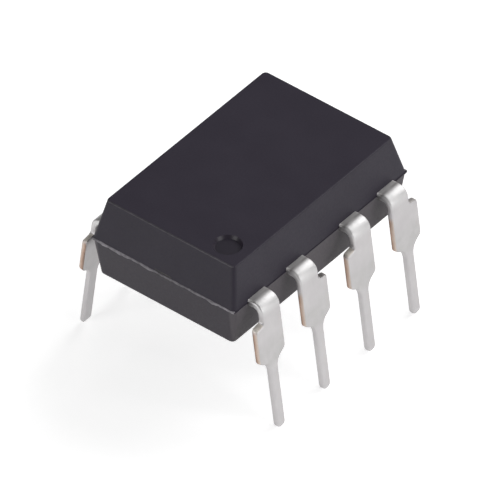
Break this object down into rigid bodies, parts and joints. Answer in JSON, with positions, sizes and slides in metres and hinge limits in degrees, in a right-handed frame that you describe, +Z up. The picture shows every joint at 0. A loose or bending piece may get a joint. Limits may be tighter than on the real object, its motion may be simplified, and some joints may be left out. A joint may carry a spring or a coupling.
{
  "type": "dual in-line package integrated circuit chip",
  "caption": "Black moulded dual in-line chip package with two rows of bent, splayed tin-plated leads and a round dimple by the first lead.",
  "frame": {"origin": "centre of the plane on which the eight lead tips stand", "axes": "+X across the two rows towards the row of leads 1 to 4, +Y along the rows away from lead 1, +Z up out of the top face"},
  "size_m": [0.009, 0.0098, 0.0069],
  "materials": {
    "epoxy": "matte black moulding compound, fine grained, with dull flash along the parting line",
    "tinned_lead": "matte tin plating over copper, bare copper on the sheared edges",
    "frame_copper": "bare stamped copper",
    "silver_paste": "cured silver-filled adhesive",
    "silicon": "polished silicon",
    "gold_wire": "drawn gold wire"
  },
  "bodies": {
    "root": {"moulded_body": "epoxy", "lead_1": "tinned_lead", "lead_2": "tinned_lead", "lead_3": "tinned_lead", "lead_4": "tinned_lead", "lead_5": "tinned_lead", "lead_6": "tinned_lead", "lead_7": "tinned_lead", "lead_8": "tinned_lead", "die_pad": "frame_copper", "die_attach": "silver_paste", "die": "silicon", "bond_wire_1": "gold_wire", "bond_wire_2": "gold_wire", "bond_wire_3": "gold_wire", "bond_wire_4": "gold_wire", "bond_wire_5": "gold_wire", "bond_wire_6": "gold_wire", "bond_wire_7": "gold_wire", "bond_wire_8": "gold_wire"}
  },
  "joints": []
}
